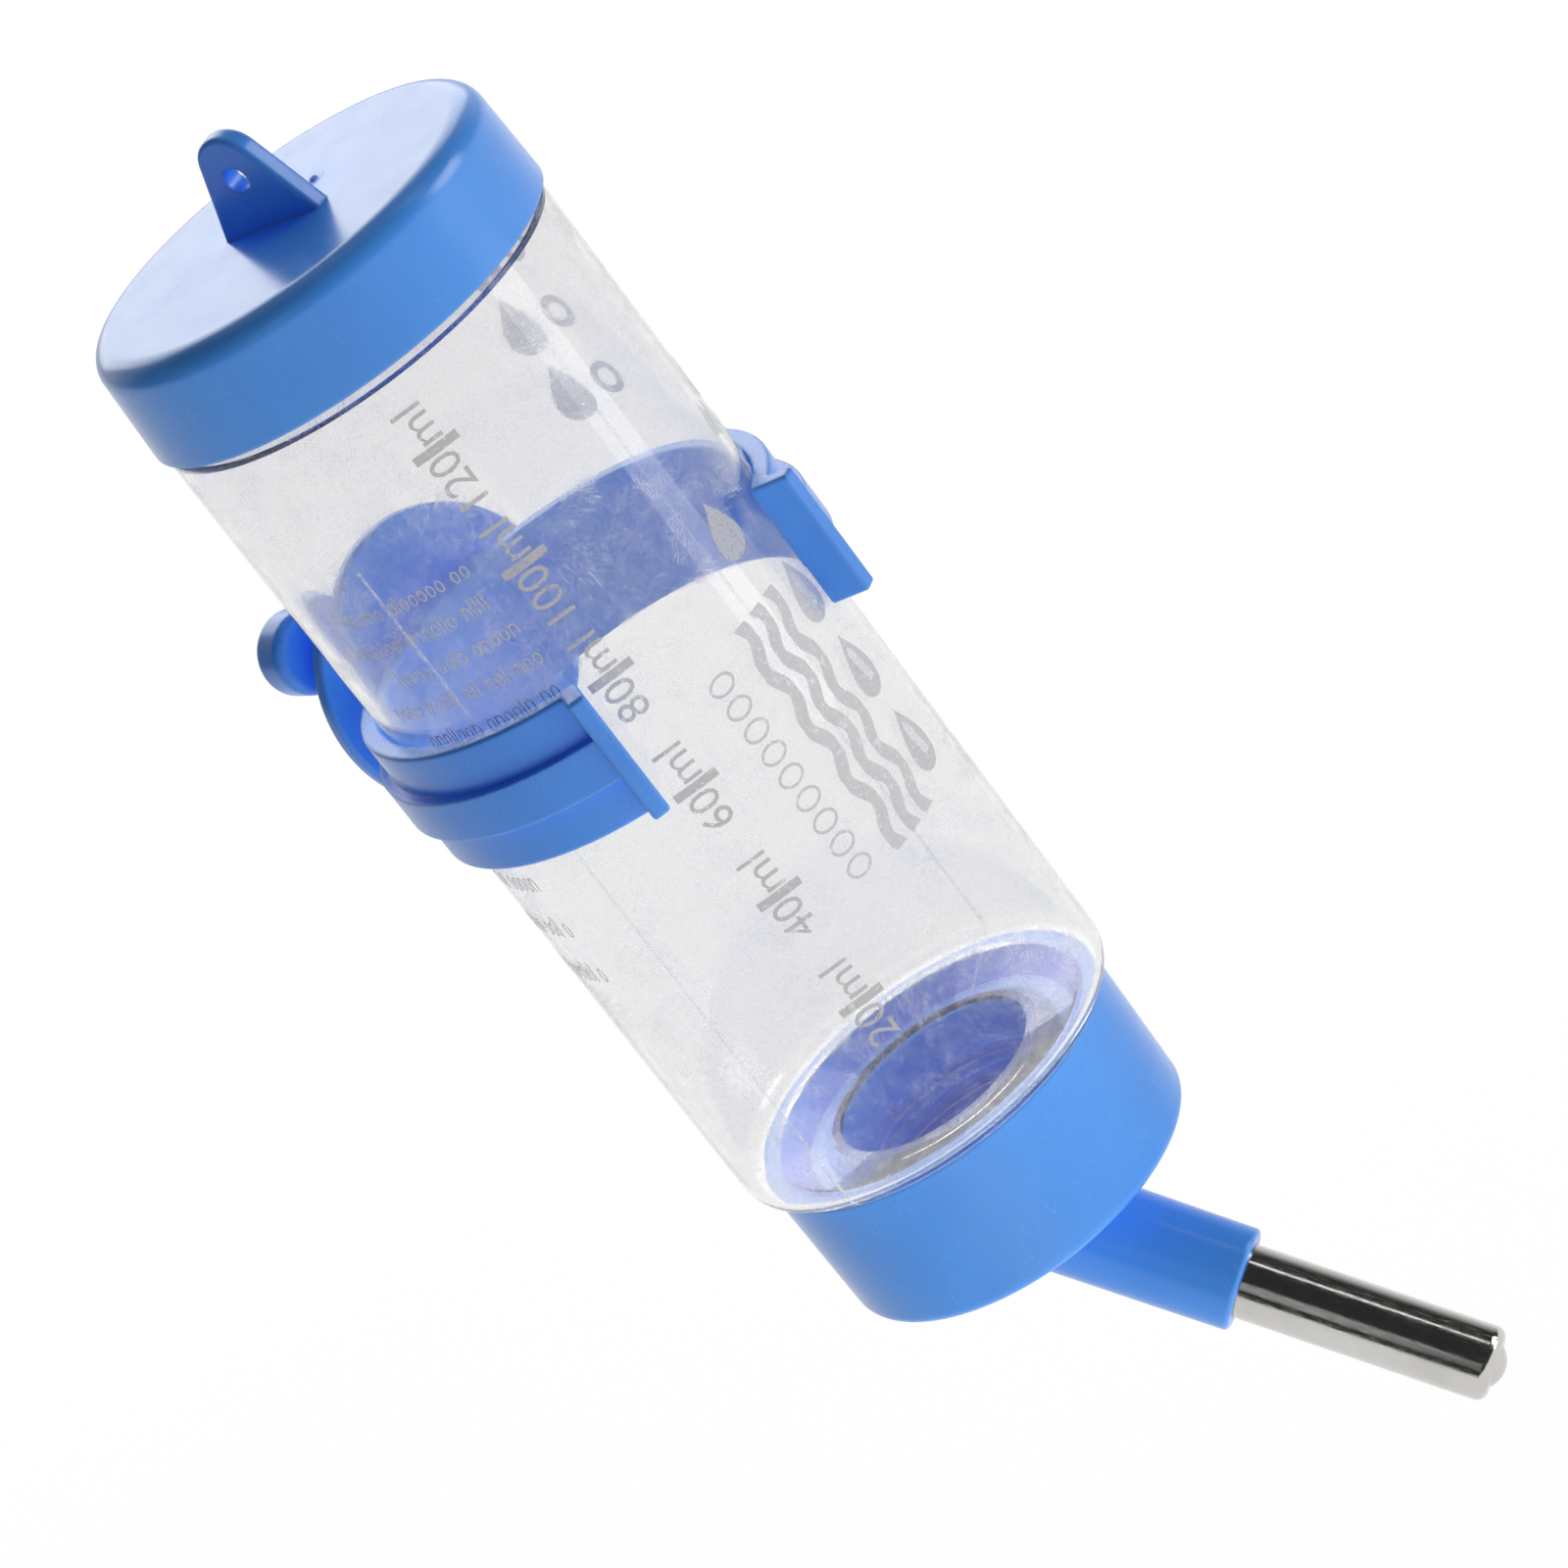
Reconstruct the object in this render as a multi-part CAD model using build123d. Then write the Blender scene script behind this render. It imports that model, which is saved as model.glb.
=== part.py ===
"""Small-animal water bottle that hangs outside a cage on a screw-clamped C-clip.

Frame: +Z runs up the bottle, +Y points into the cage, and the origin is the centre of the clip's
clamping face, on the axis of its stud. All sizes are millimetres.
"""
from build123d import *
from math import acos, atan2, cos, radians, sin, sqrt
import os

# ------------------------------------------------------------------ driving dimensions
# bottle
BODY_R = 22.0
WALL = 0.9
BODY_LENGTH = 99.6
BASE_FILLET = 2.3
BASE_DROP = 1.5
SHOULDER_DROP = 0.6
SHOULDER_THICK = 0.65

# filling end of the bottle and its cap
MOUTH_R = 20.3
MOUTH_WALL = 1.0
MOUTH_HEIGHT = 8.6
CAP_EDGE_Z = 42.7
CAP_EDGE_R = 22.7
CAP_TOP_R = 22.2
CAP_HEIGHT = 11.1
CAP_FILLET = 2.5
CAP_WALL = 1.35
CAP_BORE_R = 21.45
TOP_SEAL_BORE_R = 16.5
TOP_SEAL_R = 20.4

# ear that stands on the filling cap
EAR_BASE_W = 13.2
EAR_TIP_R = 3.5
EAR_TIP_Z = 6.7
EAR_THICK = 2.2
EAR_HOLE_R = 1.4
EAR_HOLE_Z = 5.5
EAR_FACES = -73.8
EAR_ROUND = 0.5

# drinking end of the bottle
NECK_R = 12.5
NECK_BORE_R = 11.2
NECK_LENGTH = 11.5
DRINK_CAP_R = 20.2
DRINK_CAP_END_R = 19.9
DRINK_CAP_HEIGHT = 16.6
DRINK_CAP_FILLET = 1.3
DRINK_CAP_WALL = 1.6
DRINK_CAP_FLOOR = 1.8
COLLAR_R = 15.6
COLLAR_BORE_R = 13.85
COLLAR_LIP = 1.0
NECK_SEAL_BORE_R = 9.0
NECK_SEAL_R = 13.5

# spout: a bent sleeve with a steel tube and two balls
SPOUT_TURN = 22.5
SPOUT_TILT = 47.1
ELBOW_DROP = 3.3
SLEEVE_ROOT_R = 5.55
SLEEVE_R = 5.4
SLEEVE_END = 22.2
SLEEVE_ROUND = 0.5
WATERWAY_R = 2.0
TUBE_R = 3.9
TUBE_BORE_R = 3.4
TUBE_START = 9.0
TUBE_END = 48.9
TUBE_CRIMP_ROUND = 1.2
BALL_R = 3.0
BALL_STANDS_OUT = 0.95
SEAT_GAP = 0.03
BALL_GAP = 0.05

# clip: a C-shaped ring with two end flanges, a rib, a clamping boss and a stud
CLIP_BORE_R = 22.1
CLIP_R = 24.1
CLIP_HEIGHT = 14.5
CLIP_HALF_OPENING = 37.5
RIB_R = 25.2
RIB_HEIGHT = 4.7
FLANGE_R = 26.5
FLANGE_THICK = 1.9
FLANGE_LEAN = 26.0
BOSS_FACE = 25.9
BOSS_HALF_W = 7.0
CLIP_ROUND = 0.4

# clamp: round plate and wing nut on the stud
WIRE_GAP = 2.6
DISC_R = 15.3
DISC_THICK = 2.0
DISC_BORE_R = 4.3
DISC_ROUND = 0.6
STUD_LENGTH = 15.1
STUD_ROOT_R = 3.3
STUD_CREST_R = 4.0
NUT_GAP = 0.15
NUT_BORE_R = 4.15
NUT_HUB_R = 6.6
NUT_HUB_LENGTH = 8.0
WING_SPREAD = 13.2
WING_TILT = 43.0
WING_LOBE_R = 4.5
WING_WEB_HALF = 3.0
WING_THICK = 5.0
WING_ROUND = 1.2
HUB_ROUND = 0.8

# screw threads: each female thread lies half a pitch beyond its male thread
MOUTH_PITCH = 3.0
MOUTH_TURNS = 1.5
NECK_PITCH = 3.0
NECK_TURNS = 2.0
COLLAR_TURNS = 1.25
STUD_PITCH = 2.5
STUD_TURNS = 4.5
NUT_TURNS = 2.25
MOUTH_THREAD_RISE = 1.5
NECK_THREAD_RISE = 1.0
STUD_THREAD_START = 2.7
NUT_THREAD_LAG = 1.5
TOOTH_ROOT_W = 1.3
TOOTH_CREST_W = 0.7
STUD_TOOTH_ROOT_W = 1.1
STUD_TOOTH_CREST_W = 0.6
MOUTH_CREST_R = 21.15
CAP_CREST_R = 20.6
NECK_CREST_R = 13.55
COLLAR_CREST_R = 12.8
NUT_CREST_R = 3.45
EMBED = 0.15

# small working gaps
SEAL_GAP = 0.05
CAP_TO_BASE = 0.3

# ------------------------------------------------------------------ places that follow from them
AXIS_Y = -BOSS_FACE
BASE_Z = CAP_EDGE_Z - BODY_LENGTH
MOUTH_Z = CAP_EDGE_Z + MOUTH_HEIGHT
SHOULDER_Z = CAP_EDGE_Z - CAP_TO_BASE
CAP_TOP_Z = CAP_EDGE_Z + CAP_HEIGHT
NECK_TOP_Z = BASE_Z - BASE_DROP
NECK_END_Z = NECK_TOP_Z - NECK_LENGTH
DRINK_CAP_TOP_Z = BASE_Z - CAP_TO_BASE
DRINK_CAP_END_Z = DRINK_CAP_TOP_Z - DRINK_CAP_HEIGHT
ELBOW_Z = DRINK_CAP_END_Z - ELBOW_DROP
TIP_BALL_S = TUBE_END + BALL_STANDS_OUT - BALL_R
BASE_FLAT_R = DRINK_CAP_END_R - DRINK_CAP_WALL - CAP_TO_BASE
REAR_BALL_S = TIP_BALL_S - 2 * BALL_R - BALL_GAP

AXIS = Location((0, AXIS_Y, 0))
UP = (Align.CENTER, Align.CENTER, Align.MIN)
DOWN = (Align.CENTER, Align.CENTER, Align.MAX)


def turned(points, rounds):
    """Solid of revolution about Z from (radius, z) points; rounds maps a point's index to its fillet."""
    outline = make_face(Plane.XZ * Polyline(*points, close=True))
    for index, radius in rounds.items():
        r, z = points[index]
        corner = outline.vertices().sort_by_distance((r, 0, z))[0]
        outline = fillet(corner, radius)
    return revolve(outline, Axis.Z)


def thread(pitch, turns, z_start, root_r, crest_r, root_w, crest_w):
    """Helical ridge that starts at z_start; crest_r below root_r makes an internal thread."""
    into_wall = -EMBED if crest_r > root_r else EMBED
    path = Helix(pitch=pitch, height=pitch * turns, radius=root_r, center=(0, 0, z_start))
    tooth = Polyline(
        (root_r + into_wall, 0, z_start - root_w / 2),
        (crest_r, 0, z_start - crest_w / 2),
        (crest_r, 0, z_start + crest_w / 2),
        (root_r + into_wall, 0, z_start + root_w / 2),
        close=True,
    )
    return sweep(make_face(tooth), path=path, is_frenet=True)


def washer(bore_r, outer_r, z_low, z_high):
    ring = Pos(0, 0, z_low) * Cylinder(outer_r, z_high - z_low, align=UP)
    return ring - Pos(0, 0, z_low) * Cylinder(bore_r, z_high - z_low, align=UP)


# ------------------------------------------------------------------ bottle
MOUTH_THREAD_Z = SHOULDER_Z + MOUTH_THREAD_RISE
NECK_THREAD_Z = NECK_END_Z + NECK_THREAD_RISE


def make_bottle():
    bore_r = BODY_R - WALL
    mouth_bore_r = MOUTH_R - MOUTH_WALL
    outside = turned(
        [
            (0, MOUTH_Z),
            (MOUTH_R, MOUTH_Z),
            (MOUTH_R, SHOULDER_Z),
            (BODY_R, SHOULDER_Z - SHOULDER_DROP),
            (BODY_R, BASE_Z),
            (BASE_FLAT_R, BASE_Z),
            (NECK_R, NECK_TOP_Z),
            (NECK_R, NECK_END_Z),
            (0, NECK_END_Z),
        ],
        {4: BASE_FILLET},
    )
    inside = turned(
        [
            (0, MOUTH_Z),
            (mouth_bore_r, MOUTH_Z),
            (mouth_bore_r, SHOULDER_Z - SHOULDER_THICK),
            (bore_r, SHOULDER_Z - SHOULDER_DROP - SHOULDER_THICK),
            (bore_r, BASE_Z + WALL),
            (BASE_FLAT_R, BASE_Z + WALL),
            (NECK_BORE_R, NECK_TOP_Z + WALL),
            (NECK_BORE_R, NECK_END_Z),
            (0, NECK_END_Z),
        ],
        {4: BASE_FILLET - WALL},
    )
    mouth_thread = thread(
        MOUTH_PITCH, MOUTH_TURNS, MOUTH_THREAD_Z, MOUTH_R, MOUTH_CREST_R, TOOTH_ROOT_W, TOOTH_CREST_W
    )
    neck_thread = thread(
        NECK_PITCH, NECK_TURNS, NECK_THREAD_Z, NECK_R, NECK_CREST_R, TOOTH_ROOT_W, TOOTH_CREST_W
    )
    return outside - inside + mouth_thread + neck_thread


# ------------------------------------------------------------------ filling cap and its seal
def make_ear():
    """Upright tapered plate with a round tip and a hole, standing on the middle of the cap."""
    half_w = EAR_BASE_W / 2
    reach = sqrt(half_w**2 + EAR_TIP_Z**2)
    tangent = acos(EAR_TIP_R / reach) - atan2(EAR_TIP_Z, half_w)
    side_x = EAR_TIP_R * cos(tangent)
    side_z = EAR_TIP_Z + EAR_TIP_R * sin(tangent)
    outline = make_face(
        Plane.XZ
        * Polyline(
            (-half_w, -EMBED),
            (-half_w, 0),
            (-side_x, side_z),
            (side_x, side_z),
            (half_w, 0),
            (half_w, -EMBED),
            close=True,
        )
    )
    tip = Plane.XZ * Pos(0, EAR_TIP_Z) * Circle(EAR_TIP_R)
    plate = extrude(outline + tip, amount=EAR_THICK / 2, both=True)
    above = [edge for edge in plate.edges() if edge.center().Z > EAR_ROUND]
    rim = [edge for edge in above if abs(edge.center().Y) > EAR_ROUND]
    plate = fillet(rim, EAR_ROUND)
    hole = Pos(0, 0, EAR_HOLE_Z) * Rot(90, 0, 0) * Cylinder(EAR_HOLE_R, 2 * EAR_THICK)
    return Pos(0, 0, CAP_TOP_Z) * Rot(0, 0, EAR_FACES) * (plate - hole)


def make_top_cap():
    shell = turned(
        [
            (0, CAP_TOP_Z),
            (CAP_TOP_R, CAP_TOP_Z),
            (CAP_EDGE_R, CAP_EDGE_Z),
            (0, CAP_EDGE_Z),
        ],
        {1: CAP_FILLET},
    )
    hollow = Pos(0, 0, CAP_EDGE_Z) * Cylinder(CAP_BORE_R, CAP_HEIGHT - CAP_WALL, align=UP)
    inner_thread = thread(
        MOUTH_PITCH,
        MOUTH_TURNS,
        MOUTH_THREAD_Z + MOUTH_PITCH / 2,
        CAP_BORE_R,
        CAP_CREST_R,
        TOOTH_ROOT_W,
        TOOTH_CREST_W,
    )
    return shell - hollow + inner_thread + make_ear()


def make_top_seal():
    return washer(TOP_SEAL_BORE_R, TOP_SEAL_R, MOUTH_Z + SEAL_GAP, CAP_TOP_Z - CAP_WALL - SEAL_GAP)


# ------------------------------------------------------------------ drinking cap, seal, tube and balls
SPOUT = Plane(
    origin=(0, 0, ELBOW_Z),
    x_dir=(cos(radians(SPOUT_TURN)), sin(radians(SPOUT_TURN)), 0),
    z_dir=(
        sin(radians(SPOUT_TILT)) * sin(radians(SPOUT_TURN)),
        -sin(radians(SPOUT_TILT)) * cos(radians(SPOUT_TURN)),
        -cos(radians(SPOUT_TILT)),
    ),
)


def make_bottom_cap():
    shell = turned(
        [
            (0, DRINK_CAP_TOP_Z),
            (DRINK_CAP_R, DRINK_CAP_TOP_Z),
            (DRINK_CAP_END_R, DRINK_CAP_END_Z),
            (0, DRINK_CAP_END_Z),
        ],
        {2: DRINK_CAP_FILLET},
    )
    floor_z = DRINK_CAP_END_Z + DRINK_CAP_FLOOR
    depth = DRINK_CAP_TOP_Z - floor_z
    hollow = Pos(0, 0, floor_z) * Cylinder(DRINK_CAP_END_R - DRINK_CAP_WALL, depth, align=UP)
    collar = washer(COLLAR_BORE_R, COLLAR_R, floor_z, NECK_TOP_Z - COLLAR_LIP)
    collar_thread = thread(
        NECK_PITCH,
        COLLAR_TURNS,
        NECK_THREAD_Z + NECK_PITCH / 2,
        COLLAR_BORE_R,
        COLLAR_CREST_R,
        TOOTH_ROOT_W,
        TOOTH_CREST_W,
    )
    stub = Pos(0, 0, DRINK_CAP_END_Z) * Cylinder(SLEEVE_ROOT_R, ELBOW_DROP, align=DOWN)
    elbow = Pos(0, 0, ELBOW_Z) * Sphere(SLEEVE_ROOT_R)
    sleeve = Cone(SLEEVE_ROOT_R, SLEEVE_R, SLEEVE_END, align=UP)
    sleeve = SPOUT * fillet(sleeve.edges().sort_by(Axis.Z)[-1], SLEEVE_ROUND)
    socket = SPOUT * Pos(0, 0, TUBE_START) * Cylinder(TUBE_R, SLEEVE_END, align=UP)
    waterway = Pos(0, 0, floor_z) * Cylinder(WATERWAY_R, floor_z - ELBOW_Z, align=DOWN)
    waterway += SPOUT * Cylinder(WATERWAY_R, TUBE_START, align=UP)
    return shell - hollow + collar + collar_thread + stub + elbow + sleeve - socket - waterway


def make_neck_seal():
    floor_z = DRINK_CAP_END_Z + DRINK_CAP_FLOOR
    return washer(NECK_SEAL_BORE_R, NECK_SEAL_R, floor_z + SEAL_GAP, NECK_END_Z - SEAL_GAP)


def make_drinking_tube():
    """Steel tube whose end is crimped in to a round seat that holds the ball."""
    tube = Pos(0, 0, TUBE_START) * Cylinder(TUBE_R, TUBE_END - TUBE_START, align=UP)
    tube = fillet(tube.edges().sort_by(Axis.Z)[-1], TUBE_CRIMP_ROUND)
    tube -= Pos(0, 0, TUBE_START) * Cylinder(TUBE_BORE_R, TIP_BALL_S - TUBE_START, align=UP)
    tube -= Pos(0, 0, TIP_BALL_S) * Sphere(BALL_R + SEAT_GAP)
    return SPOUT * tube


def make_ball(distance):
    return SPOUT * Pos(0, 0, distance) * Sphere(BALL_R)


# ------------------------------------------------------------------ clip
def flange_outline(side):
    """Plan of one end flange; side is +1 or -1 for the end on the +X or -X side of the opening."""
    start = Vector(
        CLIP_BORE_R * sin(radians(CLIP_HALF_OPENING)), -CLIP_BORE_R * cos(radians(CLIP_HALF_OPENING))
    )
    along = Vector(sin(radians(FLANGE_LEAN)), -cos(radians(FLANGE_LEAN)))
    across = Vector(cos(radians(FLANGE_LEAN)), sin(radians(FLANGE_LEAN)))
    reach = start.dot(along)
    length = sqrt(reach**2 + FLANGE_R**2 - CLIP_BORE_R**2) - reach
    corners = [
        start,
        start + along * length,
        start + along * length + across * FLANGE_THICK,
        start + across * FLANGE_THICK,
    ]
    return make_face(Polyline(*[(side * p.X, p.Y) for p in corners], close=True))


def c_ring(outer_r, height):
    """Ring about Z without the sector that the bottle snaps in through."""
    far = 2 * FLANGE_R
    half = radians(CLIP_HALF_OPENING)
    right_end = (far * sin(half), -far * cos(half))
    left_end = (-far * sin(half), -far * cos(half))
    opening = make_face(Polyline((0, 0), right_end, left_end, close=True))
    return extrude(Circle(outer_r) - Circle(CLIP_BORE_R) - opening, amount=height / 2, both=True)


def make_clip_ring():
    band = c_ring(CLIP_R, CLIP_HEIGHT)
    for side in (1, -1):
        band += extrude(flange_outline(side), amount=CLIP_HEIGHT / 2, both=True)
    boss = Pos(0, BOSS_FACE / 2, 0) * Box(2 * BOSS_HALF_W, BOSS_FACE, CLIP_HEIGHT)
    band += boss - Cylinder(CLIP_BORE_R, CLIP_HEIGHT)
    band = fillet(band.edges().filter_by(Axis.Z), CLIP_ROUND)
    rim = [edge for edge in band.edges() if abs(edge.center().Z) > CLIP_HEIGHT / 2 - EMBED]
    band = fillet(rim, CLIP_ROUND)
    band += c_ring(RIB_R, RIB_HEIGHT)
    stud = Cylinder(STUD_ROOT_R, STUD_LENGTH + CLIP_R - CLIP_BORE_R, align=UP)
    stud = Pos(0, BOSS_FACE - CLIP_R + CLIP_BORE_R, 0) * Rot(-90, 0, 0) * stud
    stud_thread = thread(
        STUD_PITCH,
        STUD_TURNS,
        STUD_THREAD_START,
        STUD_ROOT_R,
        STUD_CREST_R,
        STUD_TOOTH_ROOT_W,
        STUD_TOOTH_CREST_W,
    )
    return band + stud + Pos(0, BOSS_FACE, 0) * Rot(-90, 0, 0) * stud_thread


# ------------------------------------------------------------------ clamp disc and wing nut
DISC_Y = WIRE_GAP
NUT_Y = DISC_Y + DISC_THICK + NUT_GAP
NUT_THREAD_START = STUD_THREAD_START + NUT_THREAD_LAG * STUD_PITCH


def make_clamp_disc():
    disc = Cylinder(DISC_R, DISC_THICK, align=UP)
    disc = fillet(disc.edges().filter_by(GeomType.CIRCLE), DISC_ROUND)
    disc -= Cylinder(DISC_BORE_R, DISC_THICK, align=UP)
    return Pos(0, DISC_Y, 0) * Rot(-90, 0, 0) * disc


def make_wing_nut():
    """Two-lobed knob: a threaded hub with round wings that lean off the horizontal."""
    web = Rectangle(2 * WING_SPREAD, 2 * WING_WEB_HALF)
    for side in (1, -1):
        web += Pos(side * WING_SPREAD, 0) * Circle(WING_LOBE_R)
    wings = extrude(web, amount=WING_THICK)
    outlines = [edge for edge in wings.edges() if edge not in wings.edges().filter_by(Axis.Z)]
    wings = fillet(outlines, WING_ROUND)
    hub = Cylinder(NUT_HUB_R, NUT_HUB_LENGTH, align=UP)
    hub = fillet(hub.edges().filter_by(GeomType.CIRCLE), HUB_ROUND)
    nut = Rot(0, 0, WING_TILT) * (Pos(0, 0, NUT_HUB_LENGTH - WING_THICK - HUB_ROUND) * wings) + hub
    nut -= Cylinder(NUT_BORE_R, NUT_HUB_LENGTH, align=UP)
    nut = Pos(0, 0, NUT_Y) * nut
    nut += thread(
        STUD_PITCH,
        NUT_TURNS,
        NUT_THREAD_START,
        NUT_BORE_R,
        NUT_CREST_R,
        STUD_TOOTH_ROOT_W,
        STUD_TOOTH_CREST_W,
    )
    return Rot(-90, 0, 0) * nut


# ------------------------------------------------------------------ write the pieces
ON_BOTTLE_AXIS = {
    "bottle": make_bottle(),
    "top_cap": make_top_cap(),
    "top_seal": make_top_seal(),
    "bottom_cap": make_bottom_cap(),
    "neck_seal": make_neck_seal(),
    "drinking_tube": make_drinking_tube(),
    "tip_ball": make_ball(TIP_BALL_S),
    "rear_ball": make_ball(REAR_BALL_S),
    "clip_ring": make_clip_ring(),
}
ON_STUD_AXIS = {
    "clamp_disc": make_clamp_disc(),
    "wing_nut": make_wing_nut(),
}

os.makedirs("parts", exist_ok=True)
for node, shape in ON_BOTTLE_AXIS.items():
    export_step(AXIS * shape, f"parts/{node}.step")
for node, shape in ON_STUD_AXIS.items():
    export_step(shape, f"parts/{node}.step")
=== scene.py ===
import math
import random
import bmesh
import bpy
from mathutils import Matrix, Vector


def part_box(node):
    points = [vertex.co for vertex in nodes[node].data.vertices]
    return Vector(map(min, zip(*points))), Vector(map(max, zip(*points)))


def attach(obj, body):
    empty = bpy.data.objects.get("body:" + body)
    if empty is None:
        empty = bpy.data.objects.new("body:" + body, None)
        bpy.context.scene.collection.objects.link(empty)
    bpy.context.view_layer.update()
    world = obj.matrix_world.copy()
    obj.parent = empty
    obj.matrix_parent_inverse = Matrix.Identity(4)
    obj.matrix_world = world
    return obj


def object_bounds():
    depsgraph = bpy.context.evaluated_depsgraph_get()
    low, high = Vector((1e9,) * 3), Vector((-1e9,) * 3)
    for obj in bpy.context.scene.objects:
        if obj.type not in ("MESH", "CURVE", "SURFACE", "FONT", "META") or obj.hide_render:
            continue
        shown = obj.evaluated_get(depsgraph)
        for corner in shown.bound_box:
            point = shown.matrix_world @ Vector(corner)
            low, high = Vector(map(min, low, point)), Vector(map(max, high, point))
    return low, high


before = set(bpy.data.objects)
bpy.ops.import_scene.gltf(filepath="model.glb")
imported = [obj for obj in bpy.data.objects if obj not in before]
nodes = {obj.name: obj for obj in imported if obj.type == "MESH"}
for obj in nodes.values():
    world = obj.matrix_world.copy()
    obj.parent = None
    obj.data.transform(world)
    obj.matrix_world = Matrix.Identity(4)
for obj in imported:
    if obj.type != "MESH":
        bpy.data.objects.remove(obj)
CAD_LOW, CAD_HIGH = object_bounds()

MM = 0.001
random.seed(7)

# ------------------------------------------------------------------ places taken from the frame
BOTTLE_LOW, BOTTLE_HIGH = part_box("bottle")
CAP_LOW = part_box("top_cap")[0]
BASE_CAP_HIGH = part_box("bottom_cap")[1]
AXIS_X = (BOTTLE_LOW.x + BOTTLE_HIGH.x) / 2
AXIS_Y = (BOTTLE_LOW.y + BOTTLE_HIGH.y) / 2
BODY_R = (BOTTLE_HIGH.x - BOTTLE_LOW.x) / 2
CAP_HEIGHT = 11.1 * MM
CAP_TO_BASE = 0.3 * MM
CAP_TOP_Z = CAP_LOW.z + CAP_HEIGHT
BASE_Z = BASE_CAP_HIGH.z + CAP_TO_BASE


# ------------------------------------------------------------------ node helpers
def material(name):
    mat = bpy.data.materials.new(name)
    mat.use_nodes = True
    mat.node_tree.nodes.clear()
    return mat, mat.node_tree


def add(tree, kind, inputs=None, **props):
    node = tree.nodes.new(kind)
    for key, value in props.items():
        setattr(node, key, value)
    for key, value in (inputs or {}).items():
        if isinstance(value, bpy.types.NodeSocket):
            tree.links.new(value, node.inputs[key])
        else:
            node.inputs[key].default_value = value
    return node


def maths(tree, operation, a, b=0.0, clamp=False):
    return add(tree, "ShaderNodeMath", {0: a, 1: b}, operation=operation, use_clamp=clamp).outputs[0]


def ramp(tree, fac, stops):
    node = add(tree, "ShaderNodeValToRGB", {0: fac})
    band = node.color_ramp
    while len(band.elements) < len(stops):
        band.elements.new(0.5)
    for element, (place, value) in zip(band.elements, stops):
        element.position = place
        element.color = value if len(value) == 4 else (*value, 1)
    return node.outputs[0]


def grey(v):
    return (v, v, v)


def mix_colour(tree, fac, a, b):
    node = tree.nodes.new("ShaderNodeMix")
    node.data_type = "RGBA"
    for socket, value in ((node.inputs[0], fac), (node.inputs[6], a), (node.inputs[7], b)):
        if isinstance(value, bpy.types.NodeSocket):
            tree.links.new(value, socket)
        else:
            socket.default_value = value if not isinstance(value, tuple) or len(value) == 4 else (*value, 1)
    return node.outputs[2]


def noise(tree, vector, scale, detail=3.0, rough=0.5, distortion=0.0):
    node = add(
        tree, "ShaderNodeTexNoise",
        {"Vector": vector, "Scale": scale, "Detail": detail, "Roughness": rough, "Distortion": distortion},
    )
    return node.outputs[0]


def place(tree):
    return add(tree, "ShaderNodeTexCoord").outputs["Object"]


def mapped(tree, vector, scale=(1, 1, 1), turn=(0, 0, 0), shift=(0, 0, 0)):
    return add(
        tree, "ShaderNodeMapping", {"Vector": vector, "Location": shift, "Rotation": turn, "Scale": scale}
    ).outputs[0]


def unrolled(tree, vector):
    """The bottle's surface laid flat: distance round it, distance along it, and radius."""
    parts = add(tree, "ShaderNodeSeparateXYZ", {0: vector})
    dx = maths(tree, "SUBTRACT", parts.outputs[0], AXIS_X)
    dy = maths(tree, "SUBTRACT", AXIS_Y, parts.outputs[1])
    angle = maths(tree, "ARCTAN2", dx, dy)
    round_it = maths(tree, "MULTIPLY", angle, BODY_R)
    return add(tree, "ShaderNodeCombineXYZ", {0: round_it, 1: parts.outputs[2]}).outputs[0]


def scratches(tree, flat, layers):
    """Thin broken lines in several directions, as a mask from 0 to 1."""
    total = None
    for turn, stretch, scale, seed, width in layers:
        laid = mapped(tree, flat, turn=(0, 0, turn), shift=(seed, seed * 0.7, seed * 0.3))
        laid = mapped(tree, laid, scale=(1, stretch, 1))
        lines = noise(tree, laid, scale, detail=2.0, rough=0.55, distortion=0.6)
        lines = ramp(
            tree, lines,
            [(0.0, grey(0)), (0.5 - width, grey(0)), (0.5, grey(1)), (0.5 + width, grey(0)), (1.0, grey(0))],
        )
        where = noise(tree, mapped(tree, flat, shift=(seed * 1.3, seed, 0)), scale * 0.6, detail=2.0)
        where = ramp(tree, where, [(0.5, grey(0)), (0.62, grey(1))])
        layer = maths(tree, "MULTIPLY", lines, where)
        total = layer if total is None else maths(tree, "MAXIMUM", total, layer)
    return total


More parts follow.
